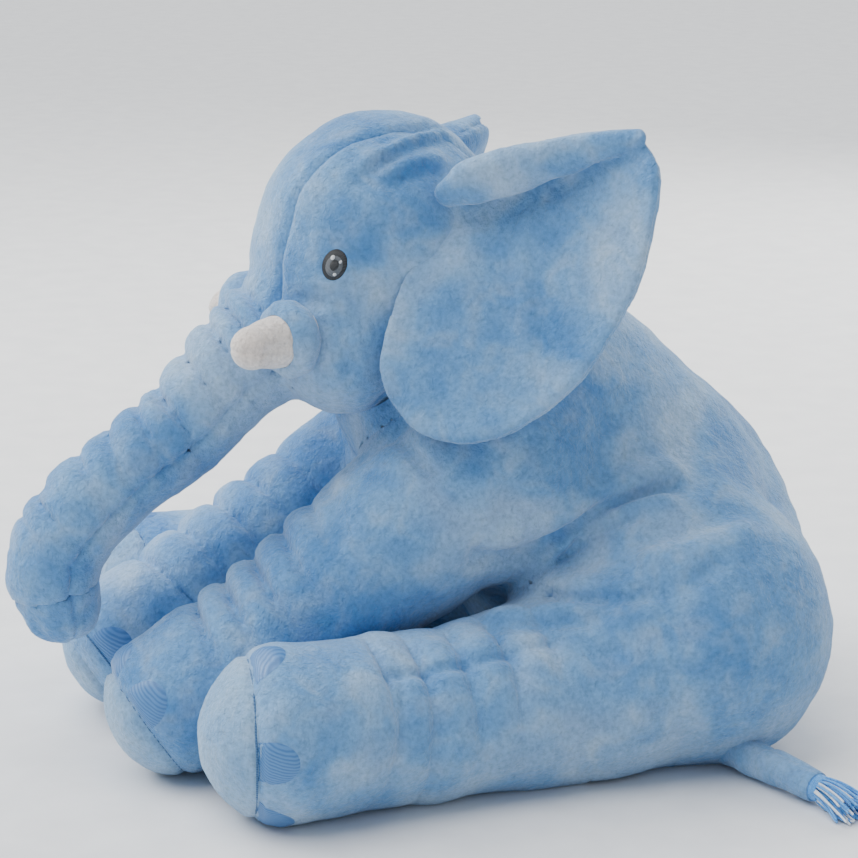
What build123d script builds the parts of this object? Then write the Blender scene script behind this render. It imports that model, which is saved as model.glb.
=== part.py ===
"""Sitting stuffed elephant: sewn plush covers over polyester fill, as separate pieces.

Frame: +Z up, the elephant faces -Y, its own left is +X.  The origin is the middle of the flat
seat that it rests on.  Millimetres.
"""
from build123d import *
import math
import os

os.makedirs("parts", exist_ok=True)

# ---- driving dimensions -------------------------------------------------------------------
COVER = 3.0            # pile fabric with its backing
FILL_GAP = 0.4         # between a cover and the fill inside it
JOINT_GAP = 1.0        # between a limb's root ball and the hollow that it turns in
PATCH = 1.2            # height of embroidery over the cover
FAR = 900.0            # larger than the whole toy, for cutting boxes
REVOLVE_TURN = 37.0    # keeps the revolved bodies' own edges off the middle plane, in degrees

HAUNCH_X, HAUNCH_Z, HAUNCH_R = 130.0, 88.0, 96.0
RUMP = (0, 2, 130)                     # lower end of the torso's axis
TORSO_BALLS = [(0, 110), (112, 110), (170, 86)]
NECK_END = (0, -128, 240)              # upper end of the torso's axis

HEAD_TOP, HEAD_LOW = (0, -180, 342), (0, -194, 298)
HEAD_BALLS = [(0, 85), (19, 83), (46, 71)]
GUSSET_HALF = 34.0                     # half the width of the strip over the forehead
GUSSET_UP = (0, -0.35, 1)              # the strip lies on this side of the head's lower ball

TRUNK_ROOT, TRUNK_BEND = (0, -255, 278), (0, -358, 195)
TRUNK_ELBOW, TRUNK_END = (0, -399, 160), (0, -411, 103)
TRUNK_R = (41, 32, 31, 26)             # radius at those four places
TRUNK_SEAM = 12.0                      # side seam's drop below the trunk's middle
TRUNK_CAP = 14.0                       # end cap's seam, short of the end ball's centre
TIP_UPPER = (0, -0.89, 0.46)           # towards the tip's upper panel from its seam

SHOULDER, FRONT_FOOT = (78, -123, 195), (68, -343, 49)
FRONT_R = (62, 49)
HIP, HIND_FOOT = (136, -88, 70), (167, -298, 54)
HIND_R = (72, 55)
SOLE_SEAM = 26.0                       # seam of the sole, past the foot ball's centre
NAIL_HALF_WIDTH = 15.0
NAIL_LENGTH = 21.0
NAIL_REACH = 1.6                       # how far out the nails' outline is cut, in foot radii
FRONT_NAILS = (-62, -4, 54)            # degrees round the foot, from the top outwards
HIND_NAILS = (7, 88, 145)

EYE_AT, EYE_R = (67, -233, 337), 9.0
TUSK_ROOT = (51, -247, 288)
TUSK_TIPS = {"left": (71, -291, 286), "right": (82, -266, 281)}     # the right one mirrored, pressed back
TUSK_R = (17, 12)
CUFF_R = 22.0

EAR_AT = (80, -185, 340)               # on the seam that holds the ear
EAR_SIDE = (0.607, 0.795, 0)           # from the head towards the ear's outer edge
EAR_LEAN = (-0.42, 0, 0.907)           # up along the seam
EAR_BOWL = 260.0                       # radius that the ear is cupped to
EAR_BOWL_AT, EAR_DEPTH = 80.0, 12.0    # where it is deepest, and by how much
EAR_HALF = 7.0                         # half its thickness
EAR_GAP = 4.0                          # between its edge and the head, so that it can flap
EAR_OUTLINE = [(8, 22), (38, 70), (90, 84), (140, 89), (162, 45), (150, -15),
               (103, -88), (50, -118), (5, -105), (-13, -65), (-4, -20)]
EAR_MIDDLE = (75, -10)
EAR_INNER = 0.92                       # wadding's outline as a share of the ear's

TAIL_ROOT, TAIL_END = (175, 4, 14), (258, 28, 12)
TAIL_R = (13, 10.5)
TASSEL_END, TASSEL_R = (290, 39, 15), (8, 13)
BINDING_AT, BINDING_WIDTH, BINDING_R = 2.0, 7.0, 12.0

# ---- how far each joint turns from rest, in degrees ------------------------------------------
NECK_TURN = (-4, 4)
TRUNK_TURN = (-5, 12)
CURL_TURN = (-6, 25)
FRONT_TURN = (0, 13)
HIND_TURN = (0, 18)
TAIL_TURN = (-10, 12)


def unit(a, b):
    """Direction from a to b."""
    return (Vector(*b) - Vector(*a)).normalized()


def length(a, b):
    return (Vector(*b) - Vector(*a)).length


def wrap(start, end, balls, grow=0.0):
    """Body of revolution that wraps balls strung on the line from start to end.

    balls holds each one's distance from start and its radius; grow is added to every radius.
    """
    rings = [(s, r + grow) for s, r in balls]
    leans = [math.degrees(math.asin((a[1] - b[1]) / (b[0] - a[0]))) for a, b in zip(rings, rings[1:])]
    arrive = [180.0] + [90.0 - lean for lean in leans]
    leave = [90.0 - lean for lean in leans] + [0.0]

    def on_ring(i, angle):
        s, r = rings[i]
        turn = math.radians(angle)
        return (s + r * math.cos(turn), max(0.0, r * math.sin(turn)))

    edges = []
    for i in range(len(rings)):
        first, last = on_ring(i, arrive[i]), on_ring(i, leave[i])
        if i:
            edges.append(Line(on_ring(i - 1, leave[i - 1]), first))
        edges.append(ThreePointArc(first, on_ring(i, (arrive[i] + leave[i]) / 2), last))
    edges.append(Line(on_ring(len(rings) - 1, 0.0), on_ring(0, 180.0)))
    body = revolve(make_face(edges), Axis.X, 360)
    along = unit(start, end)
    across = along.cross(Vector(0, 0, 1)).normalized()
    return Plane(origin=start, x_dir=along, z_dir=across) * Rot(REVOLVE_TURN, 0, 0) * body


def taper(start, end, radii, grow=0.0):
    """Two balls and the cone between them."""
    return wrap(start, end, [(0, radii[0]), (length(start, end), radii[1])], grow)


def beyond(point, direction):
    """Everything past a plane, as a large box."""
    box = Box(FAR, FAR, FAR, align=(Align.CENTER, Align.CENTER, Align.MIN))
    return Plane(origin=point, z_dir=direction) * box


def above(height):
    return beyond((0, 0, height), (0, 0, 1))


def swing_room(root, end, radii, axis, turn):
    """The room that a taper needs as it swings about its root ball: a wider one, at mid swing."""
    half = math.radians((turn[1] - turn[0]) / 2)
    spread = length(root, end) * math.sin(half)
    room = taper(root, end, (radii[0], radii[1] + spread), JOINT_GAP)
    return room.rotate(Axis(root, axis), (turn[0] + turn[1]) / 2)


def save(node, shape):
    solids = shape.solids()
    piece = solids[0] if len(solids) == 1 else Compound(children=list(solids))
    export_step(piece, f"parts/{node}.step")


# ---- outlines of the stuffed bodies; grow is 0 for the cover, less for what is inside --------
def torso_half(grow, floor):
    """The torso's left half, with its haunch."""
    pear = wrap(RUMP, NECK_END, TORSO_BALLS, grow)
    haunch = taper((0, 0, HAUNCH_Z), (HAUNCH_X, 0, HAUNCH_Z), (HAUNCH_R, HAUNCH_R), grow)
    return (pear + haunch) & above(floor) & beyond((0, 0, 0), (1, 0, 0))


def head_shape(grow):
    return wrap(HEAD_TOP, HEAD_LOW, HEAD_BALLS, grow)


def trunk_shape(grow):
    return taper(TRUNK_ROOT, TRUNK_BEND, TRUNK_R[:2], grow)


def trunk_tip_shape(grow):
    upper = taper(TRUNK_BEND, TRUNK_ELBOW, (TRUNK_R[1], TRUNK_R[2] - 0.5), grow)
    lower = taper(TRUNK_ELBOW, TRUNK_END, TRUNK_R[2:], grow)
    return upper + lower


def front_leg_shape(grow):
    return taper(SHOULDER, FRONT_FOOT, FRONT_R, grow)


def hind_leg_shape(grow):
    return taper(HIP, HIND_FOOT, HIND_R, grow)


def tail_shape(grow):
    return taper(TAIL_ROOT, TAIL_END, TAIL_R, grow)


# ---- legs: cover, domed sole, fill and embroidered toenails, made on the left and mirrored ----
def nails(shape, ball, root, foot, angles):
    """D-shaped nails, flat edge on the sole's seam, wrapped on the cover."""
    along = unit(root, foot)
    seam = Vector(*foot) + along * SOLE_SEAM
    side = along.cross(Vector(0, 0, 1)).normalized()
    outward = side if side.X > 0 else -side
    top = outward.cross(along)
    if top.Z < 0:
        top = -top
    skin = shape(PATCH) - shape(0)
    group = []
    for angle in angles:
        turn = math.radians(angle)
        normal = top * math.cos(turn) + outward * math.sin(turn)
        base = Plane(origin=seam - along * 1.0, x_dir=-along, z_dir=normal)
        oval = Ellipse(NAIL_LENGTH, NAIL_HALF_WIDTH) & Pos(NAIL_LENGTH, 0) * Rectangle(
            2 * NAIL_LENGTH, 4 * NAIL_HALF_WIDTH)
        group.append(skin & (base * extrude(oval, ball * NAIL_REACH)))
    patches = group[0]
    for patch in group[1:]:
        patches = patches + patch
    return patches & above(0)


def leg_pieces(shape, root, foot, radii, angles, keep_clear):
    along = unit(root, foot)
    past_seam = beyond(Vector(*foot) + along * SOLE_SEAM, along)
    outer = shape(0) & above(0)
    skin = outer - (shape(-COVER) & above(COVER))
    fill = shape(-COVER - FILL_GAP) & above(COVER + FILL_GAP)
    pieces = {
        "cover": skin - past_seam,
        "sole": skin & past_seam,
        "fill": fill,
        "toenails": nails(shape, radii[1], root, foot, angles),
    }
    return {name: keep_clear(piece) for name, piece in pieces.items()}


def clear_of_front_leg(body):
    """The hind leg is pressed in where the front leg lies against it."""
    return body - front_leg_shape(JOINT_GAP)


def make_legs():
    front = leg_pieces(front_leg_shape, SHOULDER, FRONT_FOOT, FRONT_R, FRONT_NAILS, lambda body: body)
    hind = leg_pieces(hind_leg_shape, HIP, HIND_FOOT, HIND_R, HIND_NAILS, clear_of_front_leg)
    for leg, pieces in (("front_leg", front), ("hind_leg", hind)):
        for name, piece in pieces.items():
            save(f"{leg}_left_{name}", piece)
            save(f"{leg}_right_{name}", mirror(piece, Plane.YZ))


# ---- torso: two side panels, the seat and the fill ------------------------------------------
def with_hollows(body):
    """Cuts the hollows that the head and the left legs turn in."""
    nod = length(HEAD_TOP, HEAD_LOW) * math.sin(math.radians(NECK_TURN[1]))
    body = body - head_shape(JOINT_GAP + nod)
    body = body - swing_room(SHOULDER, FRONT_FOOT, FRONT_R, (-1, 0, 0), FRONT_TURN)
    return body - swing_room(HIP, HIND_FOOT, HIND_R, (0, 0, 1), HIND_TURN)


def make_torso():
    skin = with_hollows(torso_half(0, 0) - torso_half(-COVER, COVER))
    fill = with_hollows(torso_half(-COVER - FILL_GAP, COVER + FILL_GAP))
    tail_room = swing_room(TAIL_ROOT, TAIL_END, TAIL_R, (0, 0, 1), TAIL_TURN)
    side, seat = skin & above(COVER), skin - above(COVER)
    save("torso_left_panel", side - tail_room)
    save("torso_right_panel", mirror(side, Plane.YZ))
    save("torso_seat_panel", (seat - tail_room) + mirror(seat, Plane.YZ))
    save("torso_fill", (fill - tail_room) + mirror(fill, Plane.YZ))


# ---- head: side panels, forehead gusset, fill, eyes, then the tusks and their cuffs ----------
def clear_of_trunk(body):
    return body - swing_room(TRUNK_ROOT, TRUNK_BEND, TRUNK_R[:2], (-1, 0, 0), TRUNK_TURN)


def make_head():
    skin = clear_of_trunk(head_shape(0) - head_shape(-COVER))
    strip = Box(2 * GUSSET_HALF, FAR, FAR) & beyond(HEAD_LOW, GUSSET_UP)
    save("head_gusset", skin & strip)
    for name, side in (("left", 1), ("right", -1)):
        save(f"head_{name}_panel", (skin - strip) & beyond((0, 0, 0), (side, 0, 0)))
    save("head_fill", clear_of_trunk(head_shape(-COVER - FILL_GAP)))

    out = unit(HEAD_TOP, EYE_AT)
    reach = Plane(origin=HEAD_TOP, z_dir=out) * extrude(Circle(EYE_R), 2 * HEAD_BALLS[0][1])
    eye = (head_shape(PATCH) - head_shape(0)) & reach
    save("eye_left", eye)
    save("eye_right", mirror(eye, Plane.YZ))


def make_tusks():
    for side, tip in TUSK_TIPS.items():
        outer = taper(TUSK_ROOT, tip, TUSK_R)
        core = taper(TUSK_ROOT, tip, TUSK_R, -COVER) - head_shape(COVER)
        fill = taper(TUSK_ROOT, tip, TUSK_R, -COVER - FILL_GAP) - head_shape(COVER + FILL_GAP)
        collar = Pos(*TUSK_ROOT) * Sphere(CUFF_R) - outer - head_shape(0)
        for name, piece in (("cover", outer - head_shape(0) - core), ("fill", fill), ("cuff", collar)):
            placed = clear_of_trunk(piece)
            save(f"tusk_{side}_{name}", placed if side == "left" else mirror(placed, Plane.YZ))


# ---- trunk: two lengths, each an upper and an under panel over fill, and an end cap ----------
def make_trunk():
    def clear_of_tip(body):
        return body - swing_room(TRUNK_BEND, TRUNK_ELBOW, TRUNK_R[1:3], (-1, 0, 0), CURL_TURN)

    along = unit(TRUNK_ROOT, TRUNK_BEND)
    upward = Vector(0, along.Z, -along.Y)
    skin = clear_of_tip(trunk_shape(0) - trunk_shape(-COVER))
    over_seam = beyond(Vector(*TRUNK_ROOT) - upward * TRUNK_SEAM, upward)
    save("trunk_upper_panel", skin & over_seam)
    save("trunk_under_panel", skin - over_seam)
    save("trunk_fill", clear_of_tip(trunk_shape(-COVER - FILL_GAP)))

    tip = trunk_tip_shape(0) - trunk_tip_shape(-COVER)
    down = unit(TRUNK_ELBOW, TRUNK_END)
    past_cap = beyond(Vector(*TRUNK_END) - down * TRUNK_CAP, down)
    over_seam = beyond(Vector(*TRUNK_BEND) - upward * TRUNK_SEAM, TIP_UPPER)
    save("trunk_end_cap", tip & past_cap)
    save("trunk_tip_upper_panel", (tip - past_cap) & over_seam)
    save("trunk_tip_under_panel", (tip - past_cap) - over_seam)
    save("trunk_tip_fill", trunk_tip_shape(-COVER - FILL_GAP))


# ---- ears: cupped front and back panels with wadding between them ---------------------------
def ear_layer(scale, near, far):
    """Part of the cupped ear between two distances in front of its middle surface."""
    points = [(EAR_MIDDLE[0] + (u - EAR_MIDDLE[0]) * scale, EAR_MIDDLE[1] + (v - EAR_MIDDLE[1]) * scale)
              for u, v in EAR_OUTLINE]
    outline = make_face(Spline(*points, periodic=True))
    prism = Pos(0, 0, -FAR / 2) * extrude(outline, FAR)
    bowl_axis = Pos(EAR_BOWL_AT, 0, EAR_BOWL - EAR_DEPTH) * Rot(90, 0, 0)
    shell = bowl_axis * (Cylinder(EAR_BOWL - near, FAR) - Cylinder(EAR_BOWL - far, FAR))
    return prism & shell


def make_ears():
    front = ear_layer(1, 0, EAR_HALF) - ear_layer(EAR_INNER, -EAR_HALF, EAR_HALF - COVER)
    back = ear_layer(1, -EAR_HALF, 0) - ear_layer(EAR_INNER, COVER - EAR_HALF, EAR_HALF)
    thin = EAR_HALF - COVER - FILL_GAP
    wadding = ear_layer(EAR_INNER - 0.01, -thin, thin)
    place = Plane(origin=EAR_AT, x_dir=EAR_SIDE, z_dir=Vector(*EAR_SIDE).cross(Vector(*EAR_LEAN)))
    for name, piece in (("front_panel", front), ("back_panel", back), ("wadding", wadding)):
        ear = place * piece - head_shape(EAR_GAP)
        save(f"ear_left_{name}", ear)
        save(f"ear_right_{name}", mirror(ear, Plane.YZ))


# ---- tail: cover, fill, tassel of yarn and the thread binding it -----------------------------
def make_tail():
    along = unit(TAIL_ROOT, TAIL_END)
    start = Vector(*TAIL_END) + along * BINDING_AT
    finish = start + along * BINDING_WIDTH
    body = tail_shape(0) - beyond(start, along)
    core = tail_shape(-COVER) - beyond(start - along * COVER, along)
    save("tail_cover", (body - core) & above(0))
    save("tail_fill", tail_shape(-COVER - FILL_GAP) - beyond(start - along * (COVER + FILL_GAP), along))
    ring = Plane(origin=start, z_dir=along) * Cylinder(
        BINDING_R, BINDING_WIDTH, align=(Align.CENTER, Align.CENTER, Align.MIN))
    save("tail_binding", ring & above(0))
    tuft = taper(tuple(finish), TASSEL_END, TASSEL_R) & beyond(finish, along)
    save("tail_tassel", tuft & above(0))


make_torso()
make_legs()
make_head()
make_tusks()
make_trunk()
make_ears()
make_tail()
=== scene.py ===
"""Plush elephant: sewn covers, ears, tusks, embroidery and tail made around the jointed frame."""
import math
import random

import bmesh
import bpy
import numpy as np
from bpy.props import FloatProperty, FloatVectorProperty, IntProperty, PointerProperty
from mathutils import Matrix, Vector


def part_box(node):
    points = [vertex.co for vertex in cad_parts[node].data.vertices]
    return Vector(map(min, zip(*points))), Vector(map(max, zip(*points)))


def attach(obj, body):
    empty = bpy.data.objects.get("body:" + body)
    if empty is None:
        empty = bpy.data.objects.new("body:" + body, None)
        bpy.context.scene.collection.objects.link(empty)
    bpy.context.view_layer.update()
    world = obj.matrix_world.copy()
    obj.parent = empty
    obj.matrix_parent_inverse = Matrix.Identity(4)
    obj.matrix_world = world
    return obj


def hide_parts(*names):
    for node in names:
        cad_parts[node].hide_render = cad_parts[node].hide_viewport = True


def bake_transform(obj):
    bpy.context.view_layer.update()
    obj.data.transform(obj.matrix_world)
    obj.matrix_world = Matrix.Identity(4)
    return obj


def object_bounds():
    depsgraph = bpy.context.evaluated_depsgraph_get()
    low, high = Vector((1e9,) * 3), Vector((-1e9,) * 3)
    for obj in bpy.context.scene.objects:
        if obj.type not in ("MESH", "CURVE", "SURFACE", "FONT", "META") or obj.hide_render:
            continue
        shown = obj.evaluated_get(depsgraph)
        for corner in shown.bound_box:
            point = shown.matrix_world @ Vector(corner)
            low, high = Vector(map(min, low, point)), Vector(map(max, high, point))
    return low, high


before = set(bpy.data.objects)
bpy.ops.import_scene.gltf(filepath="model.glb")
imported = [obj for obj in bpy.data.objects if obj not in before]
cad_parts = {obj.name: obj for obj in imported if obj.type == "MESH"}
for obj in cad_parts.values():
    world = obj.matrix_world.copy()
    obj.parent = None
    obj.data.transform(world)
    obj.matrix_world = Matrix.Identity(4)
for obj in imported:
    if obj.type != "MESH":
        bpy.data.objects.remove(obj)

bl_info = {
    "name": "Plush Elephant",
    "version": (1, 0, 0),
    "blender": (4, 5, 0),
    "location": "3D View > Sidebar > Plush",
    "description": "Sews the covers, ears, tusks and tail of a sitting plush elephant",
    "category": "Add Mesh",
}

CAD_BOX = [list(corner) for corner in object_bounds()]
MM = 0.001

# ---- the stuffed shape: places in millimetres, from the middle of the seat --------------------
TORSO = [((0, 2, 130), 110), ((0, -83, 203), 112), ((0, -128, 240), 86)]
HAUNCH, HAUNCH_R = (132, 0, 83), 95
HEAD = [((0, -180, 342), 85), ((0, -187, 324), 83), ((0, -194, 298), 71)]
TRUNK = [((0, -262, 276), 43), ((0, -287, 256), 38), ((0, -323, 219), 33), ((0, -358, 195), 32),
         ((0, -397, 162), 31.5), ((0, -411, 143), 31), ((0, -414, 124), 29), ((0, -409, 101), 25)]
FRONT_LEG = [((78, -123, 195), 62), ((68, -343, 50), 48.5)]
FAR_FRONT_LEG = [((80, -128, 178), 52), ((68, -343, 50), 48.5)]
HIND_LEG = [((144, -84, 56), 66), ((155, -186, 52), 55), ((167, -298, 54), 56)]
EAR_AT, EAR_SIDE, EAR_LEAN = (80, -185, 340), (0.607, 0.795, 0), (-0.42, 0, 0.907)
TUSK_ROOT = (51, -247, 288)
TUSK_TIPS = {"left": (71, -291, 286), "right": (82, -266, 281)}
TAIL = [((150, -2, 16), 15), ((185, 7, 15), 14), ((225, 18, 13.5), 12), ((260, 29, 12), 10.5)]
EYE_AT = (67, -233, 337)
CHEEK = ((40, -222, 272), 40)
NECK_END = (0, -128, 240)

# how softly each limb runs into the body, in millimetres
HAUNCH_SOFT, FRONT_SOFT, HIND_SOFT, TRUNK_SOFT, CHEEK_SOFT = 72, 24, 30, 12, 22
# how far past a limb's own surface its cover still owns the skin
FRONT_OWNS, HIND_OWNS, TRUNK_OWNS = 7, 9, 9
SEAT_HEIGHT = 3                 # where the seat panel meets the side panels

CELL = 2.6                      # spacing of the covers' mesh, in millimetres
ROUGH_STEP = 4                  # the fields are first tried on a grid this much coarser
FINE_CELL = 1.5                 # the same spacing for the tusks


def point(p):
    return np.array(p, float)


def unit(v):
    v = point(v)
    return v / np.linalg.norm(v)


# ---- distance fields: negative inside, in millimetres ----------------------------------------
def ball(p, centre, r):
    return np.linalg.norm(p - point(centre), axis=1) - r


def join(a, b, soft):
    """Union of two shapes with a fillet about soft wide."""
    h = np.maximum(soft - np.abs(a - b), 0.0) / soft
    return np.minimum(a, b) - h * h * soft * 0.25


def strung(p, knots, up=(0, 0, 1)):
    """Distance to balls strung on a line, with the distance along the line and the angle round it.

    The angle is 0 on the side of up and grows towards +X.
    """
    best = along = angle = None
    run = 0.0
    last = len(knots) - 2
    for i, ((a, ra), (b, rb)) in enumerate(zip(knots, knots[1:])):
        a, b = point(a), point(b)
        span = np.linalg.norm(b - a)
        axis = (b - a) / span
        s = (p - a) @ axis
        t = np.clip(s / span, 0, 1)
        off = p - (a + np.outer(t * span, axis))
        d = np.linalg.norm(off, axis=1) - (ra + (rb - ra) * t)
        top = unit(point(up) - axis * (point(up) @ axis))
        side = np.cross(axis, top)
        side = side if side[0] > 0 else -side
        turn = np.arctan2(off @ side, off @ top)
        here = run + np.clip(s, -1e9 if i == 0 else 0, 1e9 if i == last else span)
        if best is None:
            best, along, angle = d, here, turn
        else:
            nearer = d < best
            best = np.where(nearer, d, best)
            along = np.where(nearer, here, along)
            angle = np.where(nearer, turn, angle)
        run += span
    return best, along, angle


def lumps(p, size, seed):
    """Smooth random swelling from -1 to 1, with lumps about size apart."""
    rng = np.random.default_rng(seed)
    total = np.zeros(len(p))
    for _ in range(7):
        wave = rng.normal(size=3)
        wave *= 2 * math.pi / (size * rng.uniform(0.8, 1.5)) / np.linalg.norm(wave)
        total += np.sin(p @ wave + rng.uniform(0, 2 * math.pi))
    return total / 3.5


def gathers(along, angle, creases):
    """Depth of creases across a limb: (place, depth, width, middle angle, spread, slant) each."""
    depth = np.zeros(len(along))
    for place, deep, width, middle, spread, slant in creases:
        side = np.angle(np.exp(1j * (angle - math.radians(middle))))
        across = np.abs(along - place - slant * side)
        valley = np.exp(-across / width) + 0.24 * np.exp(-(across / 2.4) ** 2)
        depth += deep * valley * np.exp(-(side / math.radians(spread)) ** 2)
    return depth


def stroke(p, path, width):
    """Closeness to a line drawn through points, 1 on it and 0 beyond a few widths."""
    near = np.full(len(p), 1e9)
    for a, b in zip(path, path[1:]):
        a, b = point(a), point(b)
        t = np.clip((p - a) @ (b - a) / ((b - a) @ (b - a)), 0, 1)
        near = np.minimum(near, np.linalg.norm(p - a - np.outer(t, b - a), axis=1))
    return np.exp(-(near / width) ** 2)


def groove(g, width):
    return np.exp(-(g / width) ** 2)


def sunk(g, size):
    """Depth of a seam's groove at g across it."""
    depth, width = size
    return depth * groove(g, width)


# ---- what the sewing does to the surface ------------------------------------------------------
# creases across a limb: place along it, depth, width, middle angle, spread, slant (mm and degrees)
TRUNK_CREASES = [(-8, 9, 6, 25, 70, 3), (8, 9, 6, 20, 85, 3), (25, 10, 6, 15, 85, 4), (48, 10, 7, 15, 80, 4),
                 (77, 9, 7, 15, 85, 5), (101, 7, 6, 10, 85, 6), (126, 7.5, 7, 10, 90, 6),
                 (149, 6, 6, 10, 90, 5), (180, 6.5, 6, 5, 90, 5), (198, 4.5, 5, 0, 80, 3)]
NEAR_FRONT_CREASES = [(120, 6, 8, 0, 60, 6), (147, 11, 7, 5, 65, 5), (173, 13, 7, 5, 62, 4),
                      (198, 13, 7, 5, 60, 4), (222, 12, 6.5, 5, 55, 6)]
FAR_FRONT_CREASES = [(90, 5, 7, 0, 110, 4), (120, 7, 7, 0, 110, 4), (148, 8, 7, 0, 110, 4),
                     (180, 8, 7, 0, 110, 4), (214, 8, 6.5, 0, 110, 6)]
HIND_CREASES = [(42, 6, 6, 24, 30, 0), (72, 8, 6.5, 24, 32, 0), (103, 8.5, 6.5, 24, 32, 0),
                (133, 8.5, 6.5, 24, 32, 0), (160, 8, 5, 26, 34, 2), (74, 4, 5, 70, 30, 4),
                (104, 4.5, 5, 72, 30, -5), (136, 5.5, 5, 90, 55, 3), (158, 6, 5, 75, 45, 10)]
HIND_SEAM, HIND_SEAM_FROM, HIND_SEAM_TO = 37, 36, 162
TRUNK_SEAM = 102                # angle of the trunk's side seams from its top, in degrees
TRUNK_UP = (0, -1, 0.6)
FRONT_CUT, HIND_CUT = 25, 20    # where a leg's cover takes over from the torso's, past its joint
FRONT_SOLE = 27                 # seam of a front sole, past the foot ball's centre
HIND_SOLE_AT, HIND_SOLE_OUT, HIND_FOOT_R = (205, -328, 80), (-0.144, -0.99, 0), 49
GUSSET_HALF, GUSSET_UP = 34, (0, -0.35, 1)
TRUNK_ROOT, TRUNK_AXIS = (0, -255, 278), (0, -0.7787, -0.6274)
TRUNK_CUT, TIP_CUT = 15, 97
CAP_SEAM = 230
TRUNK_R = 32
PLEATS, PLEATS_FROM = 9, 236    # gathers of the end cap, and where they start along the trunk
FRONT_PUFF, HIND_PUFF, TRUNK_PUFF = 2.5, 1.5, 2.2    # how far the fill swells a limb past its plain size
# seam grooves: depth and half-width
BODY_GROOVE, SOLE_GROOVE, TRUNK_GROOVE = (2.2, 2.4), (3.0, 2.3), (3.6, 2.6)
GUSSET_GROOVE, CAP_GROOVE, HIND_GROOVE = (3.0, 2.3), (2.0, 2.2), (4.5, 4.5)

# soft folds and creases: height (minus for a crease), width, and the line through points
FOLDS = [
    (-9, 7, [(133, -158, 149), (122, -123, 145), (128, -97, 160), (131, -64, 175), (136, -20, 186)]),
    (7, 9, [(134, -144, 159), (133, -99, 172), (127, -62, 183), (125, -18, 194)]),
    (6, 8, [(109, -132, 127), (117, -103, 137), (128, -88, 155), (137, -59, 172), (146, -30, 179)]),
    (-6, 6, [(109, -107, 126), (123, -95, 140), (133, -77, 159), (146, -47, 173)]),
    (6, 9, [(66, -126, 106), (123, -109, 122), (155, -91, 129), (179, -70, 131)]),
    (-6, 6, [(71, -118, 95), (153, -106, 121), (172, -86, 123), (189, -64, 127), (201, -39, 136),
             (200, -15, 148)]),
    (6, 8, [(146, -146, 113), (164, -111, 117), (179, -88, 117), (197, -61, 120)]),
    (-6, 6, [(158, -157, 111), (170, -134, 111), (176, -105, 112), (184, -80, 118)]),
    (-4, 7, [(186, -119, 104), (195, -102, 97), (201, -83, 94)]),
    (-4, 9, [(162, -54, 158), (173, -23, 167), (164, 17, 172)]),
    (4, 10, [(177, -53, 149), (188, -22, 157), (180, 14, 164)]),
    (-4, 6, [(138, -144, 188), (139, -130, 207), (132, -122, 225)]),
    (3, 12, [(186, -119, 104), (206, -71, 91), (219, -35, 98)]),
    (-5, 4.5, [(60, -215, 391), (59, -199, 400), (51, -174, 410), (38, -147, 411)]),
    (4, 7, [(54, -203, 404), (48, -180, 412), (32, -148, 414)]),
    (-4, 4, [(46, -192, 413), (39, -172, 418), (23, -145, 416)]),
    (-4, 4.5, [(62, -213, 391), (70, -194, 389), (64, -168, 397), (65, -161, 394)]),
    (4, 7, [(64, -197, 396), (62, -179, 401), (57, -160, 402)]),
    (-3, 5, [(75, -232, 295), (80, -226, 280), (79, -227, 264)]),
    (-3, 7, [(52, -253, 312), (68, -237, 314), (76, -222, 306)]),
    (-5, 7, [(57, -196, 242), (84, -194, 219), (118, -185, 206)]),
    (-4, 7, [(75, -190, 226), (72, -206, 212), (66, -222, 196)]),
    (-4, 7, [(60, -238, 186), (85, -244, 183), (111, -241, 169)]),
    (-4, 9, [(120, 60, 160), (95, 78, 172), (60, 88, 186)]),
    (3, 12, [(150, 70, 120), (120, 88, 128), (84, 100, 140)]),
    (-3, 8, [(70, -20, 262), (96, -34, 240), (112, -60, 226)]),
]


def span_of(knots):
    """Length of the line through the knots."""
    return sum(np.linalg.norm(point(b) - point(a)) for (a, _), (b, _) in zip(knots, knots[1:]))


FRONT_SPAN = span_of(FRONT_LEG)


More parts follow.
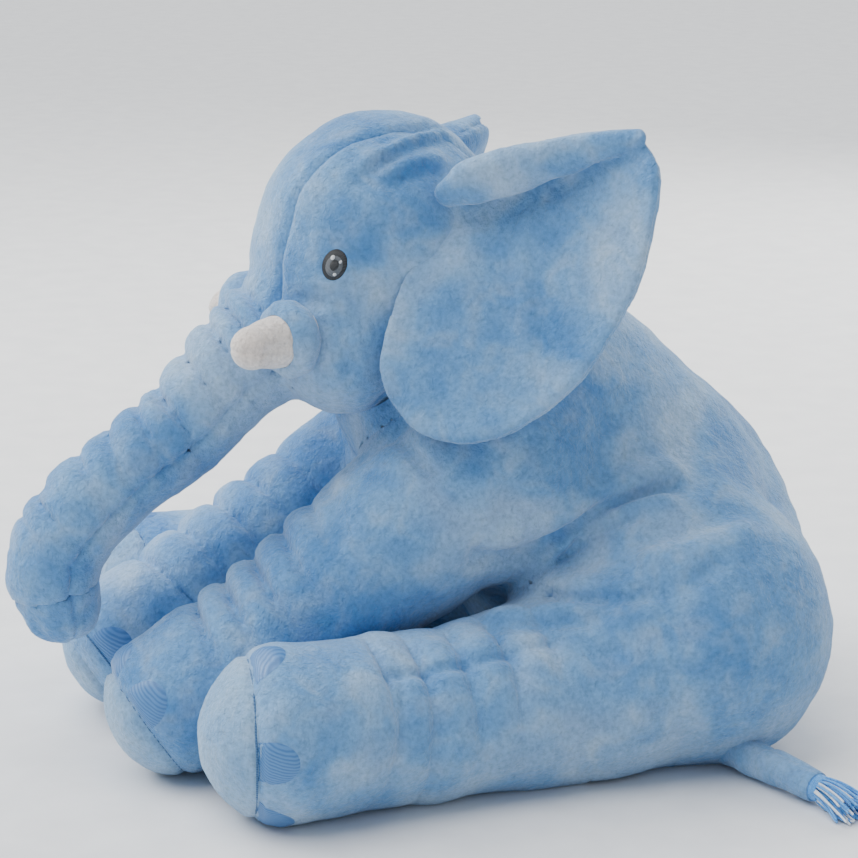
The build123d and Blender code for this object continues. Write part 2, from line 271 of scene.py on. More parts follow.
def measures(p, fine):
    """Every field of the stuffed shape at the points p, and the places along and round its limbs."""
    x = p[:, 0]
    q = np.column_stack([np.abs(x), p[:, 1], p[:, 2]])
    left = x > 0
    pear = strung(q, TORSO)[0]
    middle = np.clip(q[:, 0], 0, HAUNCH[0])
    haunch = np.sqrt((q[:, 0] - middle) ** 2 + q[:, 1] ** 2 + (q[:, 2] - HAUNCH[2]) ** 2) - HAUNCH_R
    near, near_s, near_a = strung(q, FRONT_LEG)
    far, far_s, far_a = strung(q, FAR_FRONT_LEG)
    front = np.where(left, near, far)
    front_s, front_a = np.where(left, near_s, far_s), np.where(left, near_a, far_a)
    hind, hind_s, hind_a = strung(q, HIND_LEG)
    head = strung(p, HEAD)[0]
    cheek = ball(q, CHEEK[0], CHEEK[1])
    head = join(head, cheek, CHEEK_SOFT)
    trunk, trunk_s, trunk_a = strung(p, TRUNK, TRUNK_UP)
    m = {"p": p, "x": x, "z": p[:, 2], "front_plain": front, "hind_plain": hind, "trunk_plain": trunk,
         "head_plain": head, "front_s": front_s, "hind_s": hind_s, "trunk_s": trunk_s,
         "trunk_a": trunk_a, "hind_a": hind_a, "front_a": front_a,
         "front_sole": front_s - FRONT_SPAN - FRONT_SOLE,
         "hind_sole": (q - point(HIND_SOLE_AT)) @ unit(HIND_SOLE_OUT)}
    if fine:
        near_creases = gathers(front_s, front_a, NEAR_FRONT_CREASES)
        far_creases = gathers(front_s, front_a, FAR_FRONT_CREASES)
        front = front + np.where(left, near_creases, far_creases) - FRONT_PUFF
        hind = hind + gathers(hind_s, hind_a, HIND_CREASES) - HIND_PUFF
        on_seam = (hind_s > HIND_SEAM_FROM) & (hind_s < HIND_SEAM_TO)
        hind = hind + np.where(on_seam, sunk((hind_a - math.radians(HIND_SEAM)) * 60, HIND_GROOVE), 0)
        trunk = trunk + gathers(trunk_s, trunk_a, TRUNK_CREASES) - TRUNK_PUFF
        pleats = 2.0 * (0.5 + 0.5 * np.cos(PLEATS * trunk_a)) ** 2
        trunk = trunk + pleats * np.clip((trunk_s - PLEATS_FROM) / 12, 0, 1)
    body = join(pear, haunch, HAUNCH_SOFT)
    with_front = join(body, front, FRONT_SOFT)
    with_hind = join(body, hind, HIND_SOFT)
    face = join(head, trunk, TRUNK_SOFT)
    if fine:
        folds = np.zeros(len(p))
        for height, width, path in FOLDS:
            folds += height * stroke(q, path, width)
        rough = 1.3 * lumps(p, 70, 3) + 0.5 * lumps(p, 24, 4) + 0.22 * lumps(p, 9, 5)
        seams = back_and_belly_groove(m)
        with_front -= folds + rough - seams
        with_hind -= folds + rough - seams
        face -= folds + rough - face_grooves(m)
    m["front"] = np.maximum(with_front, -m["z"])
    m["hind"] = np.maximum(np.maximum(with_hind, 0.8 - front), -m["z"])
    m["torso"] = np.maximum(np.minimum(with_front, with_hind), -m["z"])
    m["face"] = face
    return m


def back_and_belly_groove(m):
    """Seams of the torso and the soles, as depth."""
    depth = sunk(m["x"], BODY_GROOVE)
    for leg in ("front", "hind"):
        depth += np.where(m[f"{leg}_plain"] < 12, sunk(m[f"{leg}_sole"], SOLE_GROOVE), 0)
    return depth


def gusset(m):
    """Distance out of the strip over the forehead."""
    above = (m["p"] - point(HEAD[-1][0])) @ unit(GUSSET_UP)
    return np.maximum(np.abs(m["x"]) - GUSSET_HALF, -above)


def under_trunk(m):
    """Distance up from the trunk's side seams, roughly in millimetres."""
    return (math.radians(TRUNK_SEAM) - np.abs(m["trunk_a"])) * TRUNK_R


def trunk_plane(m, at):
    """Distance past the plane across the trunk that lies at along its axis."""
    return (m["p"] - point(TRUNK_ROOT)) @ point(TRUNK_AXIS) - at


def face_grooves(m):
    """Seams of the head and the trunk, as depth."""
    on_trunk = m["trunk_plain"] < m["head_plain"]
    depth = np.where(on_trunk, sunk(under_trunk(m), TRUNK_GROOVE), sunk(gusset(m), GUSSET_GROOVE))
    return depth + np.where(on_trunk, sunk(m["trunk_s"] - CAP_SEAM, CAP_GROOVE), 0)


# Each part below is negative in the space that one cover keeps.
def most(*fields):
    """The space common to all the fields."""
    return np.maximum.reduce(fields)


def front_part(m):
    return most(FRONT_CUT - m["front_s"], m["front_plain"] - FRONT_OWNS)


def hind_part(m):
    return most(HIND_CUT - m["hind_s"], m["hind_plain"] - HIND_OWNS)


def trunk_part(m):
    return most(-trunk_plane(m, TRUNK_CUT), m["trunk_plain"] - TRUNK_OWNS)


def torso_part(m, side):
    return most(-front_part(m), -hind_part(m), 1 - m["head_plain"], -side * m["x"], SEAT_HEIGHT - m["z"])


def seat_part(m):
    return most(-front_part(m), -hind_part(m), m["z"] - SEAT_HEIGHT)


def leg_part(part, seam, side, sole):
    """A leg's cover, or its sole past the seam, on the left where side is 1, on the right where -1."""
    def keep(m):
        return most(part(m), -m[seam] if sole else m[seam], -side * m["x"])
    return keep


def head_part(m, side):
    return most(-trunk_part(m), -gusset(m), -side * m["x"])


def gusset_part(m):
    return most(-trunk_part(m), gusset(m))


def trunk_panel(under, tip):
    """One of the trunk's four panels: upper or under, of the root's length or the tip's."""
    def keep(m):
        if tip:
            length = most(-trunk_plane(m, TIP_CUT), m["trunk_plain"] - TRUNK_OWNS, m["trunk_s"] - CAP_SEAM)
        else:
            length = most(trunk_part(m), trunk_plane(m, TIP_CUT))
        return most(length, under_trunk(m) if under else -under_trunk(m))
    return keep


def cap_part(m):
    return most(CAP_SEAM - m["trunk_s"], -trunk_plane(m, TIP_CUT), m["trunk_plain"] - TRUNK_OWNS)


# ---- turning fields into meshes ---------------------------------------------------------------
CORNERS = [(i, j, k) for i in (0, 1) for j in (0, 1) for k in (0, 1)]
EDGES = [(a, b) for a in CORNERS for b in CORNERS if sum(b) - sum(a) == 1
         and sum(abs(u - v) for u, v in zip(a, b)) == 1]


def shifted(a, corner):
    """A grid's values at one corner of every cell."""
    i, j, k = corner
    nx, ny, nz = a.shape
    return a[i:nx - 1 + i, j:ny - 1 + j, k:nz - 1 + k]


def sample(a, v):
    """Value of a grid between its points, at v in cells."""
    v = np.clip(v, 0, np.array(a.shape) - 1.001)
    base = np.floor(v).astype(int)
    f = v - base
    total = np.zeros(len(v))
    for c in CORNERS:
        w = np.prod(np.where(c, f, 1 - f), axis=1)
        total += w * a[base[:, 0] + c[0], base[:, 1] + c[1], base[:, 2] + c[2]]
    return total


def onto_edge(v, surface, cut):
    """Moves points to where two fields are both 0, so that the edge between them is crisp."""
    start = v.copy()
    for _ in range(4):
        for field in (surface, cut):
            value = sample(field, v)
            slope = np.column_stack([(sample(field, v + e) - sample(field, v - e)) for e in np.eye(3) * 0.5])
            size = np.maximum((slope ** 2).sum(axis=1), 0.05)
            v = v - slope * (value / size)[:, None]
    moved = v - start
    far = np.linalg.norm(moved, axis=1, keepdims=True)
    return start + moved * np.minimum(1, 1.2 / np.maximum(far, 1e-6))


def skin(surface, cut):
    """Closed quad mesh round the part of a shape that cut keeps, in cells of the grid."""
    f = np.maximum(surface, cut)
    inside = f < 0
    count = sum(shifted(inside, c).astype(np.int8) for c in CORNERS)
    cells = np.argwhere((count > 0) & (count < 8))
    index = np.full(count.shape, -1, np.int32)
    index[tuple(cells.T)] = np.arange(len(cells))
    total, crossings = np.zeros((len(cells), 3)), np.zeros(len(cells))
    on_surface, on_cut = np.zeros(len(cells), bool), np.zeros(len(cells), bool)
    for a, b in EDGES:
        ia, ib = tuple((cells + a).T), tuple((cells + b).T)
        fa, fb = f[ia], f[ib]
        cross = (fa < 0) != (fb < 0)
        t = np.where(cross, fa / np.where(cross, fa - fb, 1), 0)
        total += np.where(cross[:, None], np.array(a) + t[:, None] * (np.array(b) - np.array(a)), 0)
        crossings += cross
        lead = (cut[ia] - surface[ia]) * (1 - t) + (cut[ib] - surface[ib]) * t
        on_cut |= cross & (lead > 0)
        on_surface |= cross & (lead <= 0)
    verts = cells + total / crossings[:, None]
    edge = on_cut & on_surface
    verts[edge] = onto_edge(verts[edge], surface, cut)
    faces = []
    for axis in range(3):
        u, v = (axis + 1) % 3, (axis + 2) % 3
        step = np.eye(3, dtype=int)
        low = np.moveaxis(inside, axis, 0)[:-1]
        high = np.moveaxis(inside, axis, 0)[1:]
        turns = np.argwhere(np.moveaxis(low != high, 0, axis))
        turns = turns[(turns[:, u] > 0) & (turns[:, v] > 0)]
        turns = turns[(turns[:, u] < index.shape[u]) & (turns[:, v] < index.shape[v])]
        quad = np.column_stack([index[tuple((turns - d).T)] for d in
                                (0 * step[u], step[u], step[u] + step[v], step[v])])
        outward = inside[tuple(turns.T)]
        quad[~outward] = quad[~outward][:, ::-1]
        faces.append(quad[(quad >= 0).all(axis=1)])
    return verts, np.concatenate(faces)


def grid_points(lo, hi, cell):
    """Points of a box-shaped grid, with its shape and first corner."""
    axes = [np.arange(a, b + cell, cell) for a, b in zip(lo, hi)]
    grid = np.stack(np.meshgrid(*axes, indexing="ij"), axis=-1)
    return grid.reshape(-1, 3), grid.shape[:3], np.array([axis[0] for axis in axes])


FIELDS = ("torso", "front", "hind", "face")
FAR_OFF = 50.0                  # stands for any distance well away from the surface
grown = {}


def refined(a):
    """A coarse grid with every cell split into fine ones."""
    for axis in range(3):
        a = np.repeat(a, ROUGH_STEP, axis=axis)
    return a


def stuffed():
    """Grids of the four stuffed surfaces, worked out finely only near them, kept for all pieces."""
    if grown:
        return grown
    lo, hi = point(CAD_BOX[0]) / MM - 16, point(CAD_BOX[1]) / MM + 16
    wide = CELL * ROUGH_STEP
    p, shape, start = grid_points(lo, hi, wide)
    coarse = measures(p, False)
    near = np.zeros(len(p), bool)
    fill = {}
    for name in FIELDS:
        near |= np.abs(coarse[name]) < wide * 0.9 + 13
        fill[name] = np.where(coarse[name] > 0, FAR_OFF, -FAR_OFF).reshape(shape)
    mask = refined(near.reshape(shape))
    at = np.argwhere(mask)
    p = start + (at - (ROUGH_STEP - 1) / 2) * CELL
    values = measures(p, True)
    for name in FIELDS:
        dense = refined(fill[name]).astype(np.float32)
        dense[mask] = values[name]
        grown[name] = dense
    grown["start"] = start - (ROUGH_STEP - 1) / 2 * CELL
    return grown


def covered(name, field, keep, *nodes, grow=14):
    """Mesh object of one cover, in the space round its CAD nodes."""
    shape = stuffed()
    corners = [point(c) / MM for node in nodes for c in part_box(node)]
    lo, hi = np.min(corners, axis=0) - grow, np.max(corners, axis=0) + grow
    size = np.array(shape[field].shape)
    first = np.clip(((lo - shape["start"]) / CELL).astype(int), 0, size - 2)
    last = np.clip(((hi - shape["start"]) / CELL).astype(int) + 1, 1, size)
    part = shape[field][first[0]:last[0], first[1]:last[1], first[2]:last[2]].astype(float)
    at = np.argwhere(np.ones(part.shape, bool)) + first
    p = shape["start"] + at * CELL
    cut = keep(measures(p, False)).reshape(part.shape)
    verts, faces = skin(part / CELL, cut / CELL)
    return mesh_object(name, (shape["start"] + (verts + first) * CELL) * MM, faces)


def local_skin(surface, lo, hi, cell):
    """Mesh of a small shape given as a function of points, with its own finer grid."""
    p, shape, start = grid_points(lo, hi, cell)
    f, cut = surface(p)
    verts, faces = skin(f.reshape(shape) / cell, cut.reshape(shape) / cell)
    return start + verts * cell, faces


def mesh_object(name, verts, faces, smooth=True):
    """A new object in the scene from corners in metres."""
    mesh = bpy.data.meshes.new(name)
    mesh.from_pydata([tuple(v) for v in verts], [], [tuple(int(i) for i in f) for f in faces])
    mesh.validate()
    mesh.update()
    loose = set(range(len(mesh.vertices))) - {i for poly in mesh.polygons for i in poly.vertices}
    if loose:
        keep_only_used(mesh)
    if smooth:
        mesh.shade_smooth()
        mesh.set_sharp_from_angle(angle=math.radians(62))
    obj = bpy.data.objects.new(name, mesh)
    bpy.context.scene.collection.objects.link(obj)
    return obj


def keep_only_used(mesh):
    """Deletes corners that no face uses."""
    bm = bmesh.new()
    bm.from_mesh(mesh)
    bmesh.ops.delete(bm, geom=[v for v in bm.verts if not v.link_faces], context="VERTS")
    bm.to_mesh(mesh)
    bm.free()


# ---- materials --------------------------------------------------------------------------------
def linear(colour):
    """sRGB hex such as 7FB0DC to linear red, green and blue."""
    channels = [int(colour[i:i + 2], 16) / 255 for i in (0, 2, 4)]
    return [c / 12.92 if c <= 0.04045 else ((c + 0.055) / 1.055) ** 2.4 for c in channels]


def node(tree, kind, links=None, **settings):
    """Adds a node, applies its settings, and links its inputs to outputs of other nodes."""
    made = tree.nodes.new(kind)
    for key, value in settings.items():
        setattr(made, key, value)
    for socket, source in (links or {}).items():
        tree.links.new(source, made.inputs[socket])
    return made


def new_material(name, roughness, **sockets):
    """A material, its node tree and its shader with constants set on its sockets."""
    material = bpy.data.materials.new(name)
    material.use_nodes = True
    shader = material.node_tree.nodes["Principled BSDF"]
    shader.inputs["Roughness"].default_value = roughness
    for socket, value in sockets.items():
        shader.inputs[socket.replace("_", " ")].default_value = value
    return material, material.node_tree, shader


def per_metre(millimetres):
    """Noise scale that repeats about every so many millimetres."""
    return 1000.0 / millimetres


def ramp(tree, source, stops):
    """Colours by place, as sRGB hex, from a value."""
    made = node(tree, "ShaderNodeValToRGB", {"Fac": source})
    elements = made.color_ramp.elements
    while len(elements) < len(stops):
        elements.new(0.5)
    for element, (place, colour) in zip(elements, stops):
        element.position = place
        element.color = (*linear(colour), 1)
    return made


def noise(tree, at, millimetres, detail=2.0, roughness=0.5, distortion=0.0):
    """Smooth random pattern with features about so many millimetres apart."""
    made = node(tree, "ShaderNodeTexNoise", {"Vector": at})
    made.inputs["Scale"].default_value = per_metre(millimetres)
    made.inputs["Detail"].default_value = detail
    made.inputs["Roughness"].default_value = roughness
    made.inputs["Distortion"].default_value = distortion
    return made


def mixed(tree, factor, a, b, blend="MIX"):
    """Two colours mixed by a factor."""
    made = node(tree, "ShaderNodeMix", data_type="RGBA", blend_type=blend)
    for socket, value in ((0, factor), (6, a), (7, b)):
        if hasattr(value, "is_output"):
            tree.links.new(value, made.inputs[socket])
        else:
            made.inputs[socket].default_value = value
    return made.outputs[2]


def bumped(tree, shader, layers):
    """Bump layers on the shader, as height source, strength and depth in millimetres."""
    normal = None
    for height, strength, depth in layers:
        links = {"Height": height}
        if normal is not None:
            links["Normal"] = normal
        made = node(tree, "ShaderNodeBump", links)
        made.inputs["Strength"].default_value = strength
        made.inputs["Distance"].default_value = depth * MM
        normal = made.outputs["Normal"]
    tree.links.new(normal, shader.inputs["Normal"])


def crystal_plush(name, light, middle, dark, sheen):
    """Knitted polyester plush, sheared to a 2 mm pile and brushed by handling.

    The pile leans different ways in patches, which gives the eye its pale and deep blue mottling;
    the clumps of pile give it a soft grain, and the pile's tips its bright rim.
    """
    material, tree, shader = new_material(name, 0.9, Specular_IOR_Level=0.12, Sheen_Weight=sheen,
                                          Sheen_Roughness=0.42,
                                          Sheen_Tint=(*linear("E3F0FB"), 1))
    at = node(tree, "ShaderNodeTexCoord").outputs["Object"]
    patches = noise(tree, at, 80, 2.0, 0.5, 0.4).outputs["Fac"]
    strokes = noise(tree, at, 24, 2.0, 0.55, 0.5).outputs["Fac"]
    grain = noise(tree, at, 3.2, 3.0, 0.6, 0.3).outputs["Fac"]
    wide = ramp(tree, patches, [(0.36, dark), (0.5, middle), (0.66, light)])
    small = ramp(tree, strokes, [(0.3, dark), (0.5, middle), (0.74, light)])
    both = mixed(tree, 0.4, wide.outputs["Color"], small.outputs["Color"])
    shade = ramp(tree, grain, [(0.25, "D2D2D2"), (0.5, "EDEDED"), (0.75, "FFFFFF")])
    tree.links.new(mixed(tree, 1.0, both, shade.outputs["Color"], "MULTIPLY"), shader.inputs["Base Color"])
    clumps = noise(tree, at, 4.2, 4.0, 0.65, 0.6).outputs["Fac"]
    pile = noise(tree, at, 1.4, 2.0, 0.6).outputs["Fac"]
    combed = noise(tree, at, 15, 3.0, 0.6, 1.4).outputs["Fac"]
    bumped(tree, shader, [(combed, 0.5, 3.0), (clumps, 0.75, 2.2), (pile, 0.6, 0.9)])
    return material


def satin_thread(name, base, deep, pitch, angle):
    """Rayon embroidery in close satin stitches: smooth, a little shiny, ribbed by the threads, with painted
    shade in the grooves between them.
    """
    material, tree, shader = new_material(name, 0.42, Specular_IOR_Level=0.45, Sheen_Weight=0.12,
                                          Sheen_Roughness=0.3)
    at = node(tree, "ShaderNodeTexCoord").outputs["Object"]
    turned = node(tree, "ShaderNodeMapping", {"Vector": at})
    turned.inputs["Rotation"].default_value = (0, math.radians(angle), 0)
    wave = node(tree, "ShaderNodeTexWave", {"Vector": turned.outputs["Vector"]}, bands_direction="Z")
    wave.inputs["Scale"].default_value = math.pi * per_metre(pitch) / 10
    wave.inputs["Distortion"].default_value = 0.8
    wave.inputs["Detail"].default_value = 2.0
    wave.inputs["Detail Scale"].default_value = 2.0
    # painted shade: the deep colour goes where the wave, which is also the bump height, is low, in the
    # grooves between stitches
    colour = ramp(tree, wave.outputs["Fac"], [(0.1, deep), (0.75, base)])
    tree.links.new(colour.outputs["Color"], shader.inputs["Base Color"])
    bumped(tree, shader, [(wave.outputs["Fac"], 0.7, 0.35)])
    return material


def yarn(name, light, deep):
    """Twisted acrylic yarn: matt and fuzzy, with the twist as fine bands and painted shade in its hollows.
    """
    material, tree, shader = new_material(name, 0.75, Specular_IOR_Level=0.2, Sheen_Weight=0.5,
                                          Sheen_Roughness=0.4)
    at = node(tree, "ShaderNodeTexCoord").outputs["Object"]
    twist = noise(tree, at, 3.0, 3.0, 0.6, 1.5).outputs["Fac"]
    # painted shade: the deep colour goes where the twist, which is also the bump height, is low
    tree.links.new(ramp(tree, twist, [(0.3, deep), (0.65, light)]).outputs["Color"],
                   shader.inputs["Base Color"])
    bumped(tree, shader, [(twist, 0.7, 0.6)])
    return material


made_materials = {}


def material_of(kind):
    """One of the toy's materials, made once."""
    look = bpy.context.scene.plush_colours
    makers = {
        "plush": lambda: crystal_plush("blue_crystal_plush", hex_of(look.light), hex_of(look.middle),
                                       hex_of(look.dark), 0.55),
        "sole": lambda: crystal_plush("pale_sole_plush", "B4CDE6", "93BADF", "79A8D6", 0.5),
        "cream": lambda: crystal_plush("cream_tusk_plush", "FFF9F3", "F7EEE7", "EDE0D8", 0.4),
        # the second colour of each stitch and yarn below is painted shade for the grooves between its
        # threads
        "nail": lambda: satin_thread("toenail_satin_stitch", "5387C0", "3C70AA", 1.7, -39),
        "outline": lambda: satin_thread("black_satin_stitch", "2A2F35", "15181C", 0.8, 70),
        "iris": lambda: satin_thread("grey_satin_stitch", "676E75", "474D54", 0.8, 30),
        "glint": lambda: satin_thread("white_satin_stitch", "F6F8FA", "D5DCE3", 0.8, 30),
        "seam": lambda: satin_thread("blue_sewing_thread", "44719F", "2F5A85", 1.6, 0),
        "blue_yarn": lambda: yarn("bright_blue_yarn", "6DB6F5", "3C8BD8"),
        "white_yarn": lambda: yarn("white_yarn", "FFFFFF", "CBDDEE"),
    }
    if kind not in made_materials:
        made_materials[kind] = makers[kind]()
    return made_materials[kind]


def hex_of(colour):
    """A colour property back to sRGB hex."""
    channels = [12.92 * c if c <= 0.0031308 else 1.055 * c ** (1 / 2.4) - 0.055 for c in colour]
    return "".join(f"{round(max(0, min(1, c)) * 255):02X}" for c in channels)


def dressed(obj, kind, rides=None, replaces=()):
    """Gives a piece its material and slot, and, where asked, its body and CAD nodes."""
    obj.data.materials.clear()
    obj.data.materials.append(material_of(kind))
    if rides:
        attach(obj, rides)
    if replaces:
        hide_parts(*replaces)
    return obj


def bending(obj, start):
    """Bakes a cover's place into its mesh and does not bend it; start is not used."""
    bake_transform(obj)


# ---- small shapes -----------------------------------------------------------------------------
def mirrored(obj, name):
    """The same piece on the elephant's right."""
    verts = [(-v.co.x, v.co.y, v.co.z) for v in obj.data.vertices]
    faces = [tuple(reversed(poly.vertices)) for poly in obj.data.polygons]
    return mesh_object(name, verts, faces)


def on_surface(field, origins, directions, reach):
    """Where rays from inside first leave a shape, in millimetres."""
    t = np.full(len(origins), reach, float)
    for _ in range(14):
        t -= field(origins + directions * t[:, None])
    return origins + directions * t[:, None]


def patch(name, field, place, outline, lift, rings=7, rows=40):
    """Domed embroidery on a surface.

    place turns (a, b) in millimetres into an origin inside the shape and a direction out of it.
    outline gives the patch's edge point at a turn from 0 to 1.
    """
    middle = np.mean([outline(i / rows) for i in range(rows)], axis=0)
    flat, heights = [middle], [1.0]
    for ring in range(1, rings + 1):
        share = ring / rings
        for i in range(rows):
            flat.append(middle + (point(outline(i / rows)) - middle) * share)
            heights.append(max(0.0, 1 - share ** 4))
    count = len(flat)
    flat.extend(flat[-rows:])
    heights.extend([-1.2] * rows)
    origins, directions = zip(*[place(a, b) for a, b in flat])
    origins, directions = np.array(origins), np.array(directions)
    on = on_surface(field, origins, directions, REACH)
    verts = on + directions * (np.array(heights) * lift)[:, None]
    faces = [(0, 1 + i, 1 + (i + 1) % rows) for i in range(rows)]
    for ring in range(1, rings + 1):
        a = 1 + (ring - 1) * rows
        b = a + rows if ring < rings else count
        for i in range(rows):
            j = (i + 1) % rows
            faces.append((a + i, b + i, b + j, a + j))
    return mesh_object(name, verts * MM, faces)


def tube(points, radii, sides=10):
    """Verts and faces of a closed round tube through points."""
    verts, faces = [], []
    ahead = [unit(points[min(i + 1, len(points) - 1)] - points[max(i - 1, 0)]) for i in range(len(points))]
    side = unit(np.cross(ahead[0], (0.3, 0.2, 0.9)))
    for centre, way, r in zip(points, ahead, radii):
        side = unit(side - way * (side @ way))
        other = np.cross(way, side)
        for k in range(sides):
            turn = 2 * math.pi * k / sides
            verts.append(centre + (side * math.cos(turn) + other * math.sin(turn)) * r)
    for i in range(len(points) - 1):
        for k in range(sides):
            n = (k + 1) % sides
            faces.append((i * sides + k, i * sides + n, (i + 1) * sides + n, (i + 1) * sides + k))
    faces.append(tuple(range(sides))[::-1])
    faces.append(tuple(range(len(verts) - sides, len(verts))))
    return verts, faces


def together(name, parts):
    verts, faces = [], []
    for part_verts, part_faces in parts:
        base = len(verts)
        verts.extend(part_verts)
        faces.extend(tuple(base + i for i in face) for face in part_faces)
    return mesh_object(name, np.array(verts) * MM, faces)


# ---- ears -------------------------------------------------------------------------------------
EAR_OUTLINE = [(8, 22), (16, 48), (38, 72), (78, 84), (112, 90), (142, 89), (158, 72), (162, 45), (158, 12),
               (150, -20), (130, -58), (103, -90), (76, -110), (48, -119), (22, -116), (3, -103), (-10, -82),
               (-13, -62), (-10, -40), (-5, -18), (0, 2)]
EAR_ROLL = [((21, 43, 21), 8), ((36, 52, 25), 14), ((58, 60, 26), 15.5), ((86, 71, 23), 13),
            ((114, 80, 16), 10), ((144, 87, 9), 6)]
EAR_HALF, EAR_BOWL, EAR_BOWL_AT, EAR_DEPTH = 6.5, 250, 82, 15
EAR_CELL = 2.2
NECK_FROM, NECK_TO = 12, 102    # places up from the neck for the head's cover, in millimetres; nothing bends the cover there
FLOP = 0.7                      # how far the right ear's top stands, as a share of the left's


def smooth_loop(corners, steps=7):
    """Rounded closed line through corners."""
    ring = np.array(corners, float)
    made = []
    for i in range(len(ring)):
        a, b, c, d = (ring[(i + k - 1) % len(ring)] for k in range(4))
        for s in range(steps):
            t = s / steps
            made.append(0.5 * (2 * b + (c - a) * t + (2 * a - 5 * b + 4 * c - d) * t * t
                               + (3 * b - a - 3 * c + d) * t ** 3))
    return np.array(made)


def loop_distance(p, ring):
    """Signed distance in a plane to a closed line, negative inside it."""
    best = np.full(len(p), 1e9)
    inside = np.zeros(len(p), bool)
    for a, b in zip(ring, np.roll(ring, -1, axis=0)):
        t = np.clip((p - a) @ (b - a) / ((b - a) @ (b - a)), 0, 1)
        best = np.minimum(best, np.linalg.norm(p - a - np.outer(t, b - a), axis=1))
        crosses = (a[1] > p[:, 1]) != (b[1] > p[:, 1])
        at = a[0] + (p[:, 1] - a[1]) * (b[0] - a[0]) / np.where(b[1] == a[1], 1e-9, b[1] - a[1])
        inside ^= crosses & (p[:, 0] < at)
    return np.where(inside, -best, best)


def ear_middle(u, v):
    """How far in front of the ear's plane its middle is: cupped, with soft waves."""
    bowl = EAR_BOWL - EAR_DEPTH - np.sqrt(EAR_BOWL ** 2 - (u - EAR_BOWL_AT) ** 2)
    wave = 2.2 * np.sin(u / 19 + v / 60 + 0.6) * np.exp(-((v + 40) / 60) ** 2)
    ridge = 3.0 * np.exp(-((u - 74 + 0.12 * v) / 7) ** 2) * np.exp(-((v + 22) / 40) ** 2)
    curl = 9.0 * np.clip((-v - 60) / 60, 0, 1) ** 2
    root = 5.0 * np.exp(-((u - 4) / 20) ** 2) * np.exp(-((v - 10) / 40) ** 2)
    below_roll = 7.0 * np.exp(-((v - 22 - 0.38 * u) / 17) ** 2) * np.clip((158 - u) / 60, 0, 1)
    return bowl + wave + ridge + curl - root - below_roll


def ear_fields(front):
    """Surface and cut of the ear's front or back panel, as functions of place in the ear."""
    ring = smooth_loop(EAR_OUTLINE)

    def fields(p):
        u, v = p[:, 0], p[:, 1]
        w = p[:, 2] - ear_middle(u, v)
        edge = loop_distance(p[:, :2], ring)
        pillow = np.hypot(np.maximum(edge + EAR_HALF, 0), w) - EAR_HALF
        pillow += 2.2 * groove(w, 1.8) * (edge > -EAR_HALF - 3)
        laid = np.column_stack([u, v, w * 1.3])
        roll, _, angle = strung(laid, EAR_ROLL, up=(0, 1, 0))
        roll = roll + 1.4 * groove((angle - 0.15) * 14, 2.0) + 0.8 * lumps(p, 22, 8)
        sheet = pillow + 0.7 * lumps(p, 45, 6) + 0.3 * lumps(p, 16, 7)
        under = v < 44 + 0.33 * u
        whole = np.where(under, join(sheet, roll, 2), join(sheet, roll, 14))
        return whole, (-w if front else w)

    return fields


def ear_place(verts):
    side, lean = unit(EAR_SIDE), unit(EAR_LEAN)
    out = unit(np.cross(side, lean))
    up = np.cross(out, side)
    return point(EAR_AT) + verts @ np.array([side, up, out])


# ---- the pieces -------------------------------------------------------------------------------
class Sizes(bpy.types.PropertyGroup):
    """Sizes of the sewn details."""
    tassel_strands: IntProperty(name="Tassel strands", description="Lengths of yarn in the tail's tassel",
                                default=90, min=20, max=400)
    strand: FloatProperty(name="Yarn", description="Thickness of the tassel's yarn", default=0.0019,
                          min=0.0005, max=0.005, unit="LENGTH", subtype="DISTANCE")
    embroidery: FloatProperty(name="Embroidery", description="Height of the stitched eyes and nails",
                              default=0.0013, min=0.0002, max=0.004, unit="LENGTH", subtype="DISTANCE")


class Colours(bpy.types.PropertyGroup):
    """Colours of the plush."""
    light: FloatVectorProperty(name="Pale nap", description="Pile that leans towards the light",
                               default=linear("B3D0EC"), size=3, min=0, max=1, subtype="COLOR")
    middle: FloatVectorProperty(name="Plush", description="The plush's own blue",
                                default=linear("76ABDF"), size=3, min=0, max=1, subtype="COLOR")
    dark: FloatVectorProperty(name="Deep nap", description="Pile that leans away from the light",
                              default=linear("4C89C9"), size=3, min=0, max=1, subtype="COLOR")


class PLUSH_OT_torso(bpy.types.Operator):
    """Sews the torso: two side panels, and the flat seat under them"""
    bl_idname = "plush.torso"
    bl_label = "Torso"

    def execute(self, context):
        for side, sign in (("left", 1), ("right", -1)):
            name = f"torso_{side}_panel"
            obj = covered(f"cover_{name}", "torso", lambda m, s=sign: torso_part(m, s), name)
            nodes = (name, "torso_fill") if side == "left" else (name,)
            dressed(obj, "plush", "torso", nodes)
        seat = covered("cover_torso_seat", "torso", seat_part, "torso_seat_panel")
        dressed(seat, "plush", "torso", ("torso_seat_panel",))
        return {"FINISHED"}


class PLUSH_OT_legs(bpy.types.Operator):
    """Sews the four legs, each a cover and a domed sole"""
    bl_idname = "plush.legs"
    bl_label = "Legs"

    def execute(self, context):
        legs = (("front_leg", "front", front_part, FRONT_LEG, FRONT_CUT, 115),
                ("hind_leg", "hind", hind_part, HIND_LEG, HIND_CUT, 110))
        for leg, field, part, knots, cut, end in legs:
            for side, sign in (("left", 1), ("right", -1)):
                body = f"{leg}_{side}"
                nodes = (f"{body}_cover", f"{body}_sole")
                root = point(knots[0][0]) * (sign, 1, 1)
                way = unit(point(knots[-1][0]) * (sign, 1, 1) - root)
                keep = leg_part(part, f"{field}_sole", sign, False)
                cover = covered(f"cover_{body}", field, keep, *nodes)
                dressed(cover, "plush", None, (nodes[0], f"{body}_fill"))
                bending(cover, root + way * cut)
                keep = leg_part(part, f"{field}_sole", sign, True)
                sole = covered(f"sole_{body}", field, keep, *nodes)
                dressed(sole, "sole", body, (nodes[1],))
        return {"FINISHED"}


